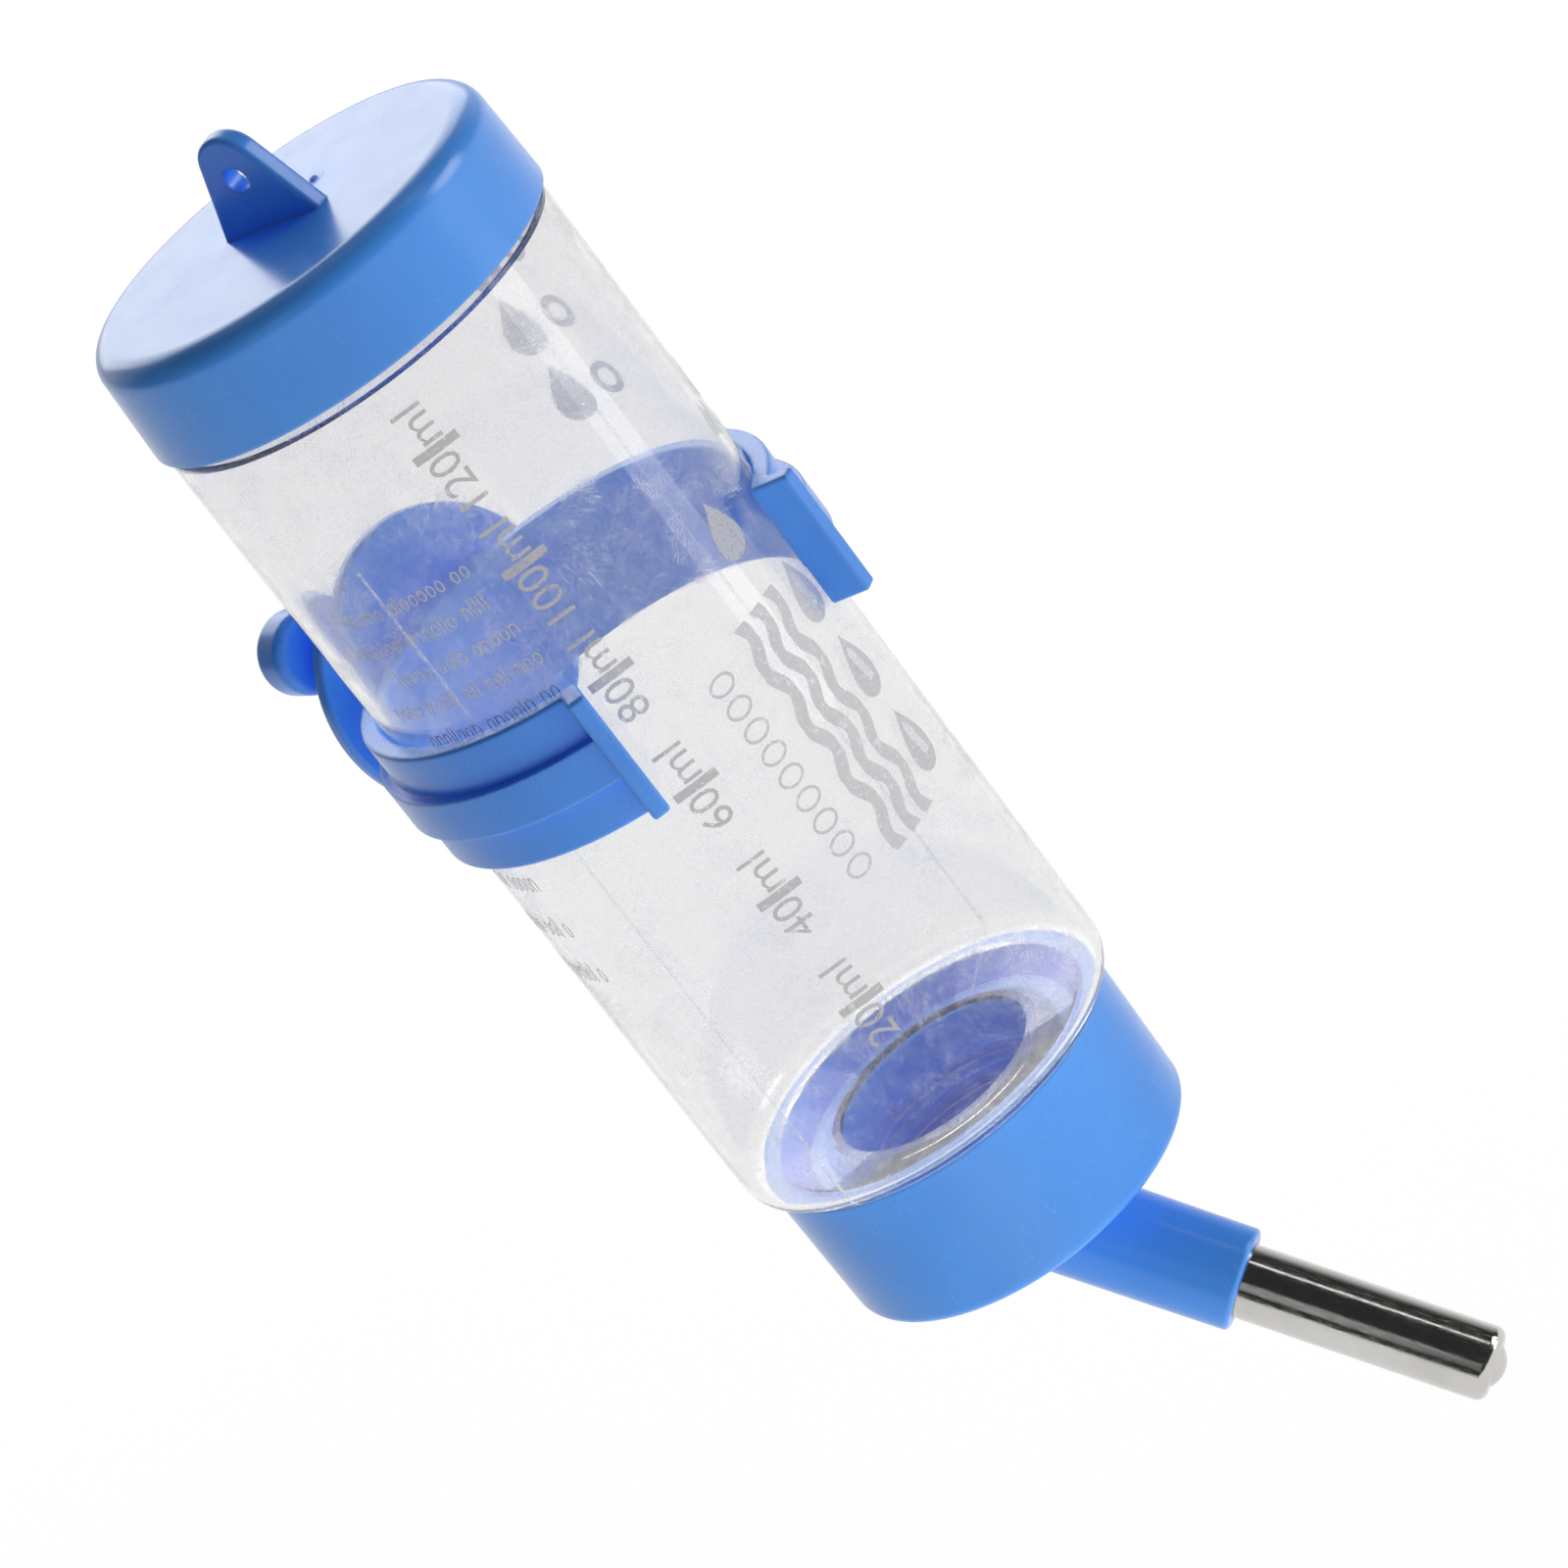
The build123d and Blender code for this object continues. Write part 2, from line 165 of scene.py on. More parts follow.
# ------------------------------------------------------------------ materials
def blue_plastic(name, base=(0.085, 0.34, 0.93), deep=(0.065, 0.295, 0.87), rough=0.20):
    mat, tree = material(name)
    where = place(tree)
    cloud = noise(tree, where, 60.0, detail=2.0)
    fine = noise(tree, where, 2600.0, detail=3.0, rough=0.6)
    colour = mix_colour(tree, ramp(tree, cloud, [(0.3, grey(0)), (0.7, grey(1))]), deep, base)
    # painted glow: edges are painted a lighter blue where light would scatter through the thin plastic
    bevel = add(tree, "ShaderNodeBevel", {"Radius": 0.45 * MM}, samples=4)
    true_normal = add(tree, "ShaderNodeNewGeometry").outputs["Normal"]
    flatness = add(
        tree, "ShaderNodeVectorMath", {0: bevel.outputs[0], 1: true_normal}, operation="DOT_PRODUCT"
    ).outputs["Value"]
    edge = ramp(tree, maths(tree, "SUBTRACT", 1.0, flatness), [(0.01, grey(0)), (0.22, grey(1))])
    # this noise only makes the painted edge glow patchy
    uneven = noise(tree, where, 420.0, detail=3.0)
    edge = maths(tree, "MULTIPLY", edge, ramp(tree, uneven, [(0.25, grey(0.35)), (0.6, grey(0.85))]))
    colour = mix_colour(tree, edge, colour, (0.28, 0.52, 0.97))
    scuff = scratches(
        tree, where,
        [(0.35, 9.0, 330.0, 0.11, 0.010), (1.45, 11.0, 300.0, 0.37, 0.008), (2.5, 8.0, 260.0, 0.61, 0.010)],
    )
    colour = mix_colour(tree, maths(tree, "MULTIPLY", scuff, 0.13), colour, (0.35, 0.55, 0.95))
    roughness = add(
        tree, "ShaderNodeMapRange",
        {0: noise(tree, where, 240.0, detail=4.0), 3: rough - 0.05, 4: rough + 0.09},
    ).outputs[0]
    roughness = maths(tree, "ADD", roughness, maths(tree, "MULTIPLY", scuff, 0.08))
    grain, dents = maths(tree, "MULTIPLY", fine, 0.12), maths(tree, "MULTIPLY", scuff, 0.15)
    height = maths(tree, "SUBTRACT", grain, dents)
    bump = add(
        tree, "ShaderNodeBump",
        {"Height": height, "Strength": 0.25, "Distance": 0.02 * MM, "Normal": bevel.outputs[0]},
    )
    surface = add(
        tree, "ShaderNodeBsdfPrincipled",
        {"Base Color": colour, "Roughness": roughness, "IOR": 1.5, "Specular IOR Level": 0.4,
         "Normal": bump.outputs[0]},
    )
    # the thin coloured wall lets some blue light into the hollows behind it
    lit = add(tree, "ShaderNodeLightPath").outputs["Is Shadow Ray"]
    glow = add(tree, "ShaderNodeBsdfTransparent", {"Color": (0.08, 0.43, 0.90, 1)})
    both = add(tree, "ShaderNodeMixShader", {0: lit, 1: surface.outputs[0], 2: glow.outputs[0]})
    add(tree, "ShaderNodeOutputMaterial", {"Surface": both.outputs[0]})
    return mat


def clear_plastic(name):
    mat, tree = material(name)
    where = place(tree)
    flat = unrolled(tree, where)
    fine = scratches(
        tree, flat,
        [(0.2, 10.0, 520.0, 0.13, 0.016), (0.7, 8.0, 330.0, 0.29, 0.014), (1.5, 8.0, 300.0, 0.41, 0.012),
         (2.2, 8.0, 360.0, 0.57, 0.014), (2.8, 9.0, 460.0, 0.83, 0.016)],
    )
    dust = noise(tree, mapped(tree, flat, shift=(0.2, 0.5, 0)), 1900.0, detail=3.0, rough=0.7)
    dust = ramp(tree, dust, [(0.60, grey(0)), (0.72, grey(1))])
    patch = noise(tree, flat, 85.0, detail=3.0)
    patch = ramp(tree, patch, [(0.38, grey(0.25)), (0.66, grey(1))])
    marks = maths(tree, "MULTIPLY", maths(tree, "MAXIMUM", fine, maths(tree, "MULTIPLY", dust, 0.35)), patch)
    haze = maths(tree, "ADD", maths(tree, "MULTIPLY", marks, 0.60), 0.006, clamp=True)
    ripple = noise(tree, mapped(tree, flat, scale=(1, 0.35, 1)), 120.0, detail=1.0)
    height = maths(tree, "ADD", maths(tree, "MULTIPLY", ripple, 2.0), maths(tree, "MULTIPLY", marks, -0.15))
    bump = add(tree, "ShaderNodeBump", {"Height": height, "Strength": 0.16, "Distance": 0.03 * MM})
    roughness = maths(tree, "ADD", maths(tree, "MULTIPLY", marks, 0.05), 0.004)
    # the plastic lets a little less light through toward the mouth
    height_up = add(tree, "ShaderNodeSeparateXYZ", {0: where}).outputs[2]
    toward_mouth = add(tree, "ShaderNodeMapRange", {0: height_up, 1: 8 * MM, 2: 40 * MM}).outputs[0]
    tint = mix_colour(tree, toward_mouth, (0.905, 0.903, 0.905), (0.858, 0.855, 0.862))
    glass = add(
        tree, "ShaderNodeBsdfPrincipled",
        {"Base Color": tint, "Roughness": roughness, "IOR": 1.46,
         "Transmission Weight": 1.0, "Normal": bump.outputs[0]},
    )
    milky = add(
        tree, "ShaderNodeBsdfPrincipled",
        {"Base Color": (0.74, 0.75, 0.78, 1), "Roughness": 0.5, "Normal": bump.outputs[0]},
    )
    body = add(tree, "ShaderNodeMixShader", {0: haze, 1: glass.outputs[0], 2: milky.outputs[0]})
    lit = add(tree, "ShaderNodeLightPath").outputs["Is Shadow Ray"]
    let_through = add(tree, "ShaderNodeBsdfTransparent", {"Color": (0.93, 0.935, 0.94, 1)})
    both = add(tree, "ShaderNodeMixShader", {0: lit, 1: body.outputs[0], 2: let_through.outputs[0]})
    add(tree, "ShaderNodeOutputMaterial", {"Surface": both.outputs[0]})
    return mat


def steel(name, along=None, rough=0.09):
    mat, tree = material(name)
    where = place(tree)
    if along is not None:
        turn = Vector(along).rotation_difference(Vector((0, 0, 1))).to_euler()
        where = mapped(tree, where, turn=tuple(turn))
    grain = noise(tree, mapped(tree, where, scale=(1, 1, 0.12)), 5200.0, detail=3.0, rough=0.7)
    drawn = noise(tree, mapped(tree, where, scale=(1, 1, 0.015)), 2600.0, detail=3.0)
    cloud = noise(tree, where, 260.0, detail=3.0)
    colour = mix_colour(tree, cloud, (0.50, 0.49, 0.47), (0.66, 0.65, 0.63))
    roughness = add(
        tree, "ShaderNodeMapRange", {0: grain, 1: 0.3, 2: 0.7, 3: rough - 0.05, 4: rough + 0.16}
    ).outputs[0]
    height = maths(tree, "ADD", maths(tree, "MULTIPLY", grain, 0.6), drawn)
    bump = add(tree, "ShaderNodeBump", {"Height": height, "Strength": 0.6, "Distance": 0.010 * MM})
    surface = add(
        tree, "ShaderNodeBsdfPrincipled",
        {"Base Color": colour, "Metallic": 1.0, "Roughness": roughness, "Normal": bump.outputs[0]},
    )
    add(tree, "ShaderNodeOutputMaterial", {"Surface": surface.outputs[0]})
    return mat


def rubber(name):
    mat, tree = material(name)
    where = place(tree)
    cloud = noise(tree, where, 180.0, detail=4.0)
    # painted blue tint: the white seal is coloured as if lit by blue light coming through the blue cap
    colour = mix_colour(tree, cloud, (0.34, 0.46, 0.80), (0.46, 0.57, 0.88))
    fine = noise(tree, where, 3000.0, detail=2.0)
    bump = add(tree, "ShaderNodeBump", {"Height": fine, "Strength": 0.3, "Distance": 0.03 * MM})
    roughness = add(tree, "ShaderNodeMapRange", {0: fine, 3: 0.48, 4: 0.66}).outputs[0]
    surface = add(
        tree, "ShaderNodeBsdfPrincipled",
        {"Base Color": colour, "Roughness": roughness, "Normal": bump.outputs[0]},
    )
    add(tree, "ShaderNodeOutputMaterial", {"Surface": surface.outputs[0]})
    return mat


def ink(name, tone, cover):
    """Screen-printed ink, thin enough to show pin holes and worn patches."""
    mat, tree = material(name)
    where = place(tree)
    flat = unrolled(tree, where)
    pin = noise(tree, flat, 2400.0, detail=2.0)
    uneven = noise(tree, flat, 520.0, detail=4.0, rough=0.65)
    solid = maths(
        tree, "MULTIPLY",
        ramp(tree, pin, [(0.30, grey(0.35)), (0.42, grey(1))]),
        ramp(tree, uneven, [(0.30, grey(0.25)), (0.43, grey(1))]),
    )
    alpha = maths(tree, "MULTIPLY", solid, cover)
    colour = mix_colour(tree, uneven, tuple(0.85 * c for c in tone), tone)
    surface = add(
        tree, "ShaderNodeBsdfPrincipled",
        {"Base Color": colour, "Roughness": 0.5, "Alpha": alpha},
    )
    add(tree, "ShaderNodeOutputMaterial", {"Surface": surface.outputs[0]})
    return mat


TIP_LOW, TIP_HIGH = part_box("tip_ball")
REAR_LOW, REAR_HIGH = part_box("rear_ball")
SPOUT_DIR = ((TIP_LOW + TIP_HIGH) - (REAR_LOW + REAR_HIGH)).normalized()

CAP_BLUE = blue_plastic("blue_cap")
CLIP_BLUE = blue_plastic("blue_clip", base=(0.075, 0.30, 0.88), deep=(0.056, 0.25, 0.80), rough=0.24)
CLEAR = clear_plastic("clear_bottle")
TUBE_STEEL = steel("steel_tube", along=SPOUT_DIR)
BALL_STEEL = steel("steel_ball", rough=0.08)
SEAL = rubber("white_seal")
LIGHT_INK = ink("grey_ink", (0.56, 0.55, 0.545), 0.90)
DARK_INK = ink("bold_grey_ink", (0.58, 0.58, 0.60), 0.80)
FINE_INK = ink("fine_grey_ink", (0.60, 0.58, 0.56), 0.96)
PALE_INK = ink("pale_ink", (0.80, 0.81, 0.85), 0.80)

def thin_flash(name):
    """The edge of a moulding, paler and duller than the wall it runs along."""
    mat, tree = material(name)
    where = place(tree)
    grain = noise(tree, where, 1500.0, detail=3.0)
    colour = mix_colour(tree, grain, (0.70, 0.71, 0.74), (0.93, 0.93, 0.95))
    roughness = ramp(tree, grain, [(0.2, grey(0.12)), (0.8, grey(0.4))])
    alpha = ramp(tree, grain, [(0.35, grey(0.15)), (0.7, grey(0.55))])
    surface = add(
        tree, "ShaderNodeBsdfPrincipled",
        {"Base Color": colour, "Roughness": roughness, "IOR": 1.46, "Alpha": alpha},
    )
    add(tree, "ShaderNodeOutputMaterial", {"Surface": surface.outputs[0]})
    return mat


FLASH = thin_flash("mould_flash")

LOOK = {
    "bottle": CLEAR, "top_cap": CAP_BLUE, "bottom_cap": CAP_BLUE, "clip_ring": CLIP_BLUE,
    "clamp_disc": CLIP_BLUE, "wing_nut": CLIP_BLUE, "drinking_tube": TUBE_STEEL,
    "tip_ball": BALL_STEEL, "rear_ball": BALL_STEEL, "top_seal": SEAL, "neck_seal": SEAL,
}
for name, look in LOOK.items():
    nodes[name].material_slots[0].link = "OBJECT"
    nodes[name].material_slots[0].material = look


# ------------------------------------------------------------------ mesh helpers
CUT_STEP = 0.7 * MM
FIRST_CUT, LAST_CUT = -6, 60


def mesh_object(name, bm, look, body):
    mesh = bpy.data.meshes.new(name)
    bm.to_mesh(mesh)
    bm.free()
    obj = bpy.data.objects.new(name, mesh)
    bpy.context.scene.collection.objects.link(obj)
    mesh.materials.append(look)
    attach(obj, body)
    return obj


def wrapped(bm, turn, z, upright, radius):
    """Lays a flat print (x along the reading direction, y up the letters) on the bottle's wall."""
    for step in range(FIRST_CUT, LAST_CUT):
        cut = step * CUT_STEP
        geom = bm.verts[:] + bm.edges[:] + bm.faces[:]
        bmesh.ops.bisect_plane(
            bm, geom=geom, plane_co=(cut, 0, 0) if upright else (0, cut, 0),
            plane_no=(1, 0, 0) if upright else (0, 1, 0),
        )
    for v in bm.verts:
        x, y = v.co.x, v.co.y
        if upright:
            angle, high = turn + x / radius, z + y
        else:
            angle, high = turn - y / radius, z + x
        v.co = Vector((AXIS_X + radius * math.sin(angle), AXIS_Y - radius * math.cos(angle), high))
    return bm


def text_mesh(words, size):
    curve = bpy.data.curves.new("text", "FONT")
    curve.body = words
    curve.size = size
    curve.resolution_u = 3
    obj = bpy.data.objects.new("text", curve)
    bpy.context.scene.collection.objects.link(obj)
    bpy.context.view_layer.update()
    mesh = bpy.data.meshes.new_from_object(obj.evaluated_get(bpy.context.evaluated_depsgraph_get()))
    bpy.data.objects.remove(obj)
    bm = bmesh.new()
    bm.from_mesh(mesh)
    bpy.data.meshes.remove(mesh)
    return bm


def extent(bm):
    xs = [v.co.x for v in bm.verts]
    ys = [v.co.y for v in bm.verts]
    return min(xs), max(xs), min(ys), max(ys)


def shift(bm, dx, dy, sx=1.0, sy=1.0):
    for v in bm.verts:
        v.co.x = v.co.x * sx + dx
        v.co.y = v.co.y * sy + dy


def merge(into, part):
    mesh = bpy.data.meshes.new("part")
    part.to_mesh(mesh)
    part.free()
    into.from_mesh(mesh)
    bpy.data.meshes.remove(mesh)


def box_print(x0, x1, y0, y1):
    bm = bmesh.new()
    bm.faces.new([bm.verts.new((x, y, 0)) for x, y in ((x0, y0), (x1, y0), (x1, y1), (x0, y1))])
    return bm


def ring_print(cx, cy, rx, ry, stroke, sweep=math.tau, steps=20):
    bm = bmesh.new()
    rim = []
    for i in range(steps + 1):
        a = sweep * i / steps
        inner = bm.verts.new((cx + (rx - stroke) * math.cos(a), cy + (ry - stroke) * math.sin(a), 0))
        outer = bm.verts.new((cx + rx * math.cos(a), cy + ry * math.sin(a), 0))
        rim.append((inner, outer))
    for (a, b), (c, d) in zip(rim, rim[1:]):
        bm.faces.new((a, b, d, c))
    return bm


DROP_STEPS = 40
WAVE_STEPS = 14


def drop_print(cx, cy, width, length):
    """A plain water drop with its point toward +X."""
    bm = bmesh.new()
    outline = []
    for i in range(DROP_STEPS):
        a = math.tau * i / DROP_STEPS
        across = math.sin(a) * math.sin(a / 2) ** 1.4
        outline.append(bm.verts.new((cx + math.cos(a) * length / 2, cy + across * width / 1.55, 0)))
    bm.faces.new(outline)
    return bm


def wave_print(x0, x1, y, stroke, swing, waves):
    """A bold wavy line along X."""
    bm = bmesh.new()
    steps = WAVE_STEPS * waves
    rim = []
    for i in range(steps + 1):
        x = x0 + (x1 - x0) * i / steps
        phase = math.tau * waves * i / steps
        mid = y + swing * math.sin(phase)
        half = stroke / 2 * (1 + 0.55 * abs(math.cos(phase)))
        rim.append((bm.verts.new((x, mid - half, 0)), bm.verts.new((x, mid + half, 0))))
    for (a, b), (c, d) in zip(rim, rim[1:]):
        bm.faces.new((a, c, d, b))
    return bm


# ------------------------------------------------------------------ the millilitre scale
PRINT_R = BODY_R + 0.02 * MM
SCALE_TURN = math.radians(-30.0)
TOP_TICK_Z = 33.6 * MM
TICK_STEP = 14.03 * MM
LETTER_H = 3.2 * MM
LETTER_GAP = 0.25 * MM
TICK_W = 0.95 * MM
TICK_BELOW, TICK_ABOVE = 1.1 * MM, 0.6 * MM
scale = bmesh.new()
for i, amount in enumerate((120, 100, 80, 60, 40, 20)):
    label = box_print(-TICK_W / 2, TICK_W / 2, -LETTER_H / 2 - TICK_BELOW, LETTER_H / 2 + TICK_ABOVE)
    digits = text_mesh(str(amount), 1.0)
    x0, x1, y0, y1 = extent(digits)
    fit = LETTER_H / (y1 - y0)
    shift(digits, -x1 * fit - TICK_W / 2 - LETTER_GAP, -y0 * fit - LETTER_H / 2, fit, fit)
    merge(label, digits)
    unit = text_mesh("ml", 1.0)
    x0, x1, y0, y1 = extent(unit)
    fit = LETTER_H / (y1 - y0)
    shift(unit, -x0 * fit + TICK_W / 2 + LETTER_GAP, -y0 * fit - LETTER_H / 2, fit, fit)
    merge(label, unit)
    merge(scale, wrapped(label, SCALE_TURN, TOP_TICK_Z - i * TICK_STEP, False, PRINT_R))
mesh_object("scale_print", scale, LIGHT_INK, "bottle")

# ------------------------------------------------------------------ generic printed marks
motif = bmesh.new()
for i in range(3):
    merge(motif, drop_print((-5.0 - 9.6 * i) * MM, -5.4 * MM, 5.0 * MM, 7.4 * MM))
for i in range(3):
    merge(motif, wave_print(-29.5 * MM, -1.5 * MM, (-0.8 + 2.7 * i) * MM, 1.15 * MM, 0.55 * MM, 4))
for i in range(9):
    merge(motif, ring_print((-4.4 - 2.9 * i) * MM, 9.6 * MM, 1.15 * MM, 1.5 * MM, 0.32 * MM))
merge(motif, drop_print(6.0 * MM, -1.0 * MM, 4.6 * MM, 6.6 * MM))
bold_marks = wrapped(motif, math.radians(16.0), 2.0 * MM, False, PRINT_R)
mesh_object("bold_print", bold_marks, DARK_INK, "bottle")
side_motif = bmesh.new()
for i in range(2):
    merge(side_motif, drop_print((3.4 - 7.0 * i) * MM, 0, 3.8 * MM, 5.6 * MM))
    merge(side_motif, drop_print((0.0 - 7.0 * i) * MM, 4.4 * MM, 2.8 * MM, 4.2 * MM))
side_marks = wrapped(side_motif, math.radians(62.0), 14.0 * MM, False, PRINT_R)
back_motif = bmesh.new()
for i in range(3):
    merge(back_motif, drop_print((-4.0 - 8.4 * i) * MM, 0, 5.0 * MM, 7.0 * MM))
    merge(back_motif, ring_print((-4.0 - 8.4 * i) * MM, 5.6 * MM, 2.0 * MM, 2.0 * MM, 0.9 * MM))
merge(side_marks, wrapped(back_motif, math.radians(118.0), 38.0 * MM, False, PRINT_R))
mesh_object("pale_print", side_marks, PALE_INK, "bottle")


STROKE = 0.17 * MM
GLYPH_R = 0.42 * MM
WIDE_STEP, NARROW_STEP, WORD_GAP = 1.05 * MM, 0.45 * MM, 0.7 * MM


def small_lines(turn, z, widths, pitch, height):
    """Lines of tiny strokes that stand for fine print without being letters."""
    page = bmesh.new()
    for row, width in enumerate(widths):
        x = -width
        base = -row * pitch
        while x < 0:
            word = random.randint(3, 8)
            for _ in range(word):
                kind = random.random()
                middle = x + GLYPH_R
                if kind < 0.45:
                    half = height * 0.36
                    merge(page, ring_print(middle, base + half, GLYPH_R, half, STROKE, steps=12))
                    x += WIDE_STEP
                elif kind < 0.7:
                    merge(page, box_print(x, x + STROKE, base, base + height))
                    x += NARROW_STEP
                else:
                    merge(page, box_print(x, x + STROKE, base, base + height * 0.72))
                    waist, half = base + height * 0.40, height * 0.32
                    merge(page, ring_print(middle, waist, GLYPH_R, half, STROKE, math.pi, 8))
                    foot = x + 2 * GLYPH_R - STROKE
                    merge(page, box_print(foot, foot + STROKE, base, base + height * 0.45))
                    x += WIDE_STEP
                if x > 0:
                    break
            x += WORD_GAP
    return wrapped(page, turn, z, True, PRINT_R)


UPPER_WIDTHS = [w * MM for w in (15, 17, 14, 18, 16, 18, 15)]
LOWER_WIDTHS = [w * MM for w in (13, 16, 12)]
fine_print = small_lines(math.radians(-42.0), 21.5 * MM, UPPER_WIDTHS, 3.7 * MM, 1.9 * MM)
merge(fine_print, small_lines(math.radians(-88.0), -12.0 * MM, LOWER_WIDTHS, 6.0 * MM, 2.6 * MM))
mesh_object("fine_print", fine_print, FINE_INK, "bottle")

# ------------------------------------------------------------------ moulding marks
SEAM_TURN = math.radians(-66.0)
SEAM_WIDE, SEAM_HIGH = 0.42 * MM, 0.09 * MM
SEAM_CORNER = 2.3 * MM
SEAM_FOOT = 0.03 * MM
SEAM_STEP, SEAM_STEPS, CORNER_STEPS = 3.4 * MM, 25, 9
NECK_EDGE_R, NECK_EDGE_DROP = 12.8 * MM, 1.45 * MM


def seam(bm, turn):
    """A fine flash line that follows the mould's parting plane over the base and up the wall."""
    corner_r = BODY_R - SEAM_CORNER
    path = [(NECK_EDGE_R, BASE_Z - NECK_EDGE_DROP, 0.0, -1.0), (corner_r, BASE_Z, 0.0, -1.0)]
    for i in range(1, CORNER_STEPS):
        a = math.radians(90 * i / CORNER_STEPS)
        out_r, out_z = math.sin(a), -math.cos(a)
        path.append((corner_r + SEAM_CORNER * out_r, BASE_Z + SEAM_CORNER * (1 + out_z), out_r, out_z))
    for i in range(SEAM_STEPS):
        path.append((BODY_R, BASE_Z + SEAM_CORNER + SEAM_STEP * i, 1.0, 0.0))
    side = Vector((math.cos(turn), math.sin(turn), 0))
    outward = Vector((math.sin(turn), -math.cos(turn), 0))
    rows = []
    for r, z, out_r, out_z in path:
        high = SEAM_HIGH * (0.7 + 0.5 * random.random())
        normal = outward * out_r + Vector((0, 0, out_z))
        middle = Vector((AXIS_X, AXIS_Y, z)) + outward * r
        foot = middle - normal * SEAM_FOOT
        rows.append([
            bm.verts.new(foot - side * SEAM_WIDE / 2), bm.verts.new(middle + normal * high),
            bm.verts.new(foot + side * SEAM_WIDE / 2),
        ])
    for a, b in zip(rows, rows[1:]):
        bm.faces.new((a[0], b[0], b[1], a[1]))
        bm.faces.new((a[1], b[1], b[2], a[2]))


flash = bmesh.new()
seam(flash, SEAM_TURN)
seam(flash, SEAM_TURN + math.pi)
mesh_object("mould_seam", flash, FLASH, "bottle")


GATE_STEPS = 28


def gate_mark(bm, centre, radius, nib):
    """The low ring and broken-off nib that the moulding gate leaves."""
    rings = [(1.0, 0.0), (0.93, 0.10), (0.80, 0.13), (0.66, 0.05), (0.42, 0.05), (0.30, 0.55), (0.16, 0.9)]
    rows = []
    for part, high in rings:
        row = []
        for i in range(GATE_STEPS):
            a = math.tau * i / GATE_STEPS
            r = radius * part * (1 + 0.07 * math.sin(3 * a + 9 * part))
            z = nib * high * (1 + 0.2 * math.sin(2 * a + 1.3))
            row.append(bm.verts.new(centre + Vector((r * math.cos(a), r * math.sin(a), z))))
        rows.append(row)
    for a, b in zip(rows, rows[1:]):
        for i in range(GATE_STEPS):
            j = (i + 1) % GATE_STEPS
            bm.faces.new((a[i], a[j], b[j], b[i]))
    bm.faces.new(rows[-1])


GATE_X, GATE_BEHIND = 6.0 * MM, 0.8 * MM
GATE_R, GATE_NIB = 1.25 * MM, 0.32 * MM
gate = bmesh.new()
gate_mark(gate, Vector((GATE_X, AXIS_Y + GATE_BEHIND, CAP_TOP_Z)), GATE_R, GATE_NIB)
mesh_object("cap_gate_mark", gate, CAP_BLUE, "top_cap")

# ------------------------------------------------------------------ floor, light and camera
FLOOR_Z = CAD_LOW.z - 62 * MM
FLOOR_R, FLOOR_SEGMENTS = 9.0, 96
level = Matrix.Translation((0, 0, FLOOR_Z))
bm = bmesh.new()
bmesh.ops.create_circle(bm, cap_ends=True, segments=FLOOR_SEGMENTS, radius=FLOOR_R, matrix=level)
mesh = bpy.data.meshes.new("floor")
bm.to_mesh(mesh)
bm.free()
floor = bpy.data.objects.new("floor", mesh)
bpy.context.scene.collection.objects.link(floor)
mat, tree = material("pale_floor")
tone = noise(tree, place(tree), 3.0, detail=2.0)
surface = add(
    tree, "ShaderNodeBsdfPrincipled",
    {"Base Color": mix_colour(tree, tone, (0.11, 0.11, 0.11), (0.13, 0.13, 0.13)), "Roughness": 0.9,
     "Specular IOR Level": 0.1, "Emission Color": (1.0, 1.0, 1.0, 1), "Emission Strength": 0.92},
)
add(tree, "ShaderNodeOutputMaterial", {"Surface": surface.outputs[0]})
mesh.materials.append(mat)
# the walls' diffuse light comes from the world's ground, so the floor neither adds to it nor blocks it
floor.visible_diffuse = False
floor.visible_shadow = False

AZIMUTH, ELEVATION, LEAN = -26.8, 22.49, math.radians(37.32)
AIM = Vector((5.11, -28.48, -22.87)) * MM
DISTANCE = 610.34 * MM
LENS, SENSOR = 142.43, 36.0
SEEN_LEVEL = 0.97


def toward(azimuth, elevation):
    a, e = math.radians(azimuth), math.radians(elevation)
    return Vector((math.sin(a) * math.cos(e), -math.cos(a) * math.cos(e), math.sin(e)))


def softbox(name, azimuth, elevation, distance, width, height, radiance, roll=0.0):
    """A rectangular lamp that faces the object's middle from the given direction."""
    light = bpy.data.lights.new(name, "AREA")
    light.shape = "RECTANGLE"
    light.size, light.size_y = width, height
    light.energy = radiance * math.pi * width * height
    lamp = bpy.data.objects.new(name, light)
    bpy.context.scene.collection.objects.link(lamp)
    out = toward(azimuth, elevation)
    lamp.location = AIM + out * distance
    lamp.rotation_mode = "QUATERNION"
    rolled = Matrix.Rotation(math.radians(roll), 3, "Z").to_quaternion()
    lamp.rotation_quaternion = out.to_track_quat("Z", "Y") @ rolled
    lamp.visible_camera = False
    return lamp


softbox("back_softbox", 153, 27, 1.3, 1.2, 0.8, 2.1)
softbox("key_softbox", 58, 14, 1.1, 0.5, 0.5, 5.6)
softbox("streak_softbox", 54, 53, 0.95, 0.09, 0.45, 1.9, roll=155.6)
softbox("camera_softbox", -57, 26, 0.95, 0.42, 0.40, 0.42, roll=42.3)
low_softbox = softbox("low_softbox", 46, -12, 0.38, 0.13, 0.11, 2.3)
low_softbox.visible_diffuse = False
low_softbox.visible_transmission = False
base_fill = softbox("base_fill", -46, -42, 0.30, 0.2, 0.2, 2.2)
base_fill.visible_glossy = False
base_fill.visible_transmission = False

world = bpy.data.worlds.new("studio")
bpy.context.scene.world = world
world.use_nodes = True
tree = world.node_tree
tree.nodes.clear()


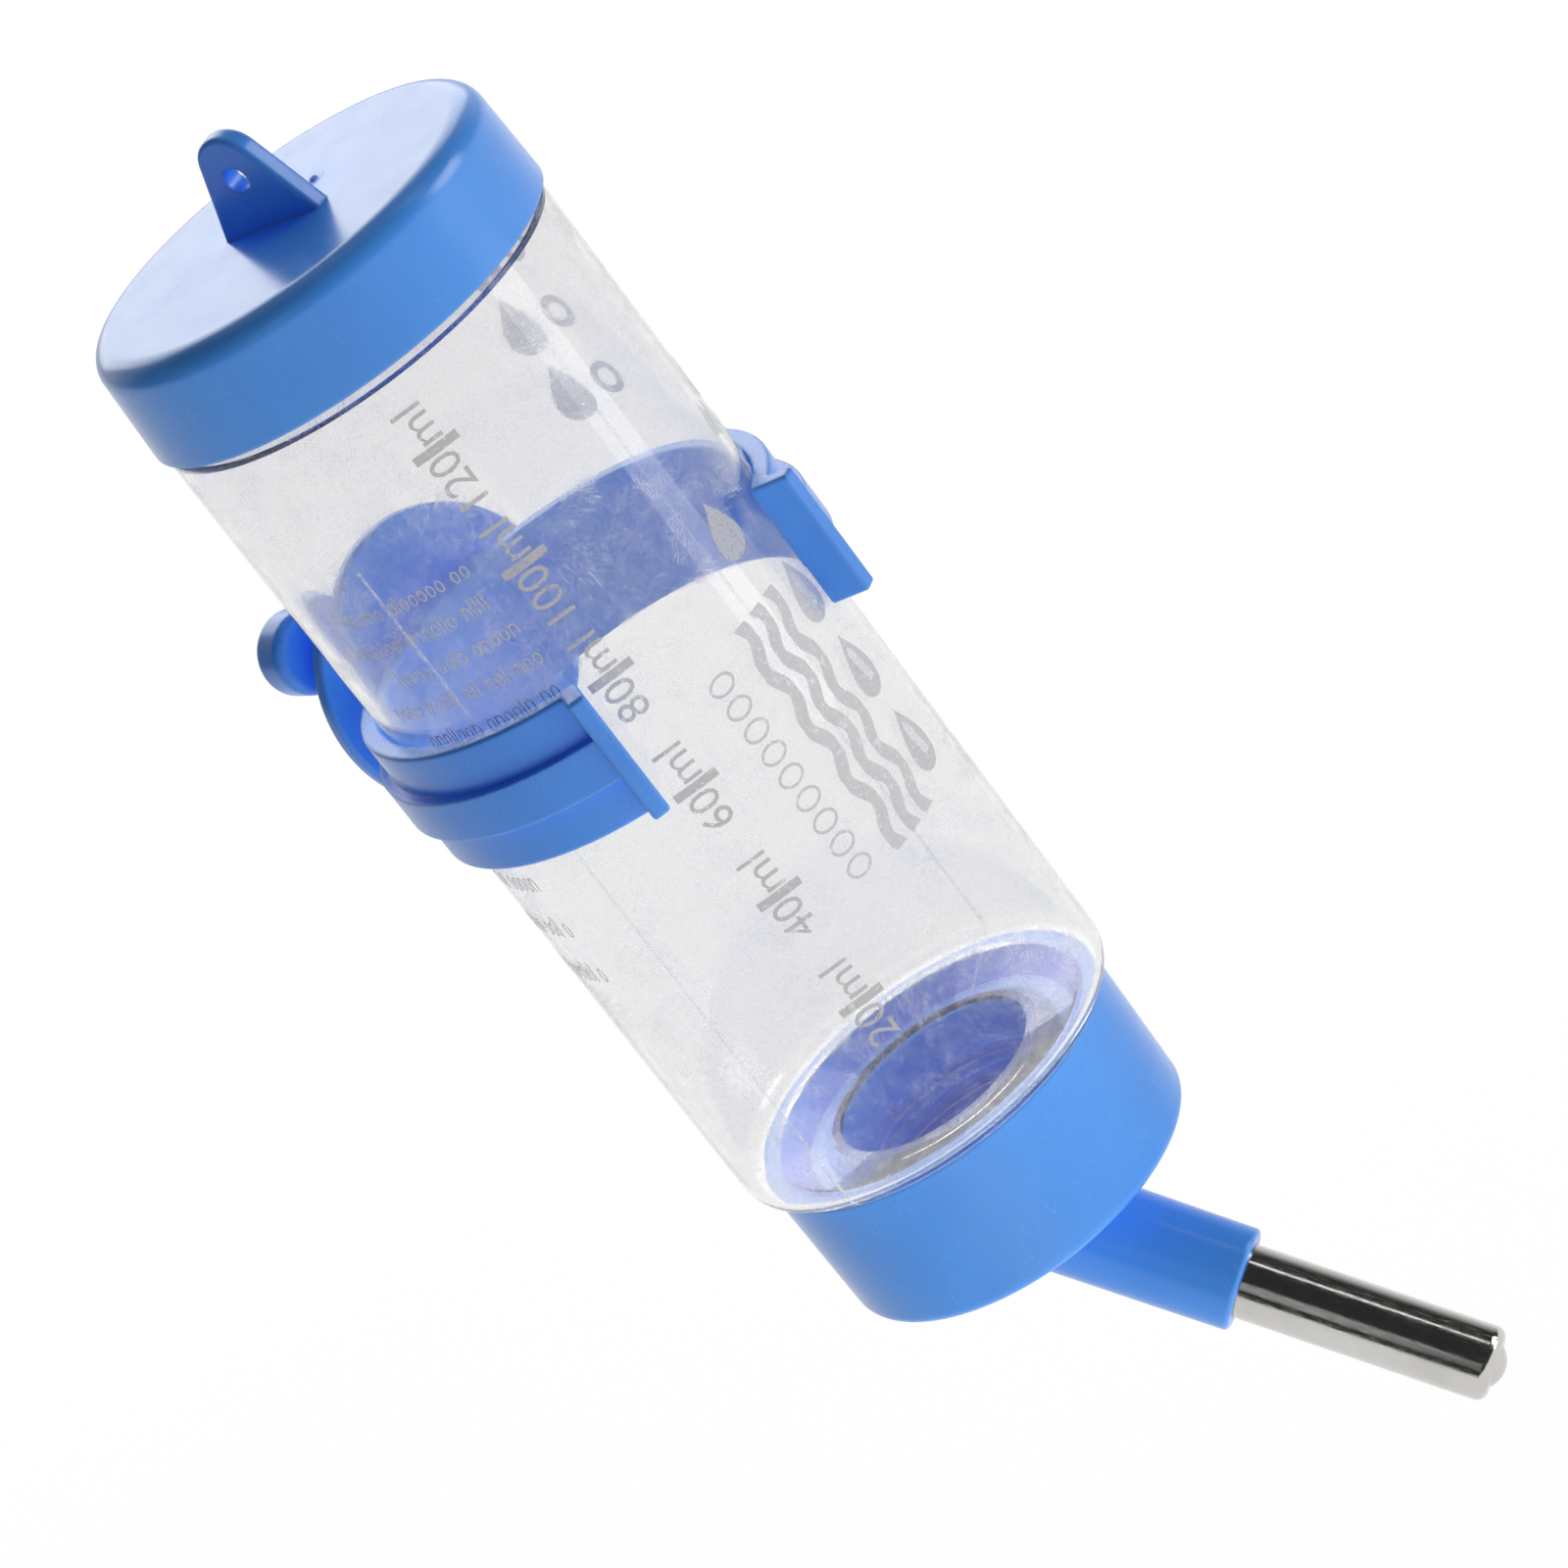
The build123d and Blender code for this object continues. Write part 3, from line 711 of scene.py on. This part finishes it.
def along(vector, target, low, high, a, b):
    """A smooth step from a to b as a direction turns toward the target."""
    facing = add(tree, "ShaderNodeVectorMath", {0: vector, 1: tuple(target)}, operation="DOT_PRODUCT")
    return add(
        tree, "ShaderNodeMapRange", {0: facing.outputs["Value"], 1: low, 2: high, 3: a, 4: b},
        interpolation_type="SMOOTHSTEP",
    ).outputs[0]


# a pale ground below the horizon, a dark room with a bright back wall and ceiling above it
direction = add(tree, "ShaderNodeTexCoord").outputs["Generated"]
below = along(direction, toward(-8, -10), -0.3, 0.95, 0.10, 1.22)
room = along(direction, toward(153, 0), 0.40, 0.90, 0.035, 0.92)
overhead = along(direction, toward(150, 70), 0.78, 1.0, 0.0, 0.55)
room = maths(tree, "MAXIMUM", room, overhead)
horizon = along(direction, (0, 0, 1), -0.04, 0.05, 0.0, 1.0)
strength = add(tree, "ShaderNodeMix", {0: horizon, 2: below, 3: room}).outputs[0]
# the backdrop itself stays evenly pale, seen straight or through the clear plastic
rays = add(tree, "ShaderNodeLightPath")
seen = maths(tree, "MAXIMUM", rays.outputs["Is Camera Ray"], rays.outputs["Is Transmission Ray"])
strength = add(tree, "ShaderNodeMix", {0: seen, 2: strength, 3: SEEN_LEVEL}).outputs[0]
back = add(tree, "ShaderNodeBackground", {"Color": (1.0, 1.0, 1.0, 1), "Strength": strength})
add(tree, "ShaderNodeOutputWorld", {"Surface": back.outputs[0]})
bpy.context.scene.view_settings.view_transform = "Standard"

camera_data = bpy.data.cameras.new("camera")
camera_data.lens = LENS
camera_data.sensor_width = SENSOR
camera_data.clip_start, camera_data.clip_end = 0.02, 50.0
camera = bpy.data.objects.new("camera", camera_data)
bpy.context.scene.collection.objects.link(camera)
out = toward(AZIMUTH, ELEVATION)
right = Vector((0, 0, 1)).cross(out).normalized()
up = out.cross(right)
image_right = math.cos(LEAN) * right - math.sin(LEAN) * up
image_up = math.sin(LEAN) * right + math.cos(LEAN) * up
camera.rotation_mode = "QUATERNION"
camera.rotation_quaternion = Matrix((image_right, image_up, out)).transposed().to_quaternion()
camera.location = AIM + out * DISTANCE
bpy.context.scene.camera = camera
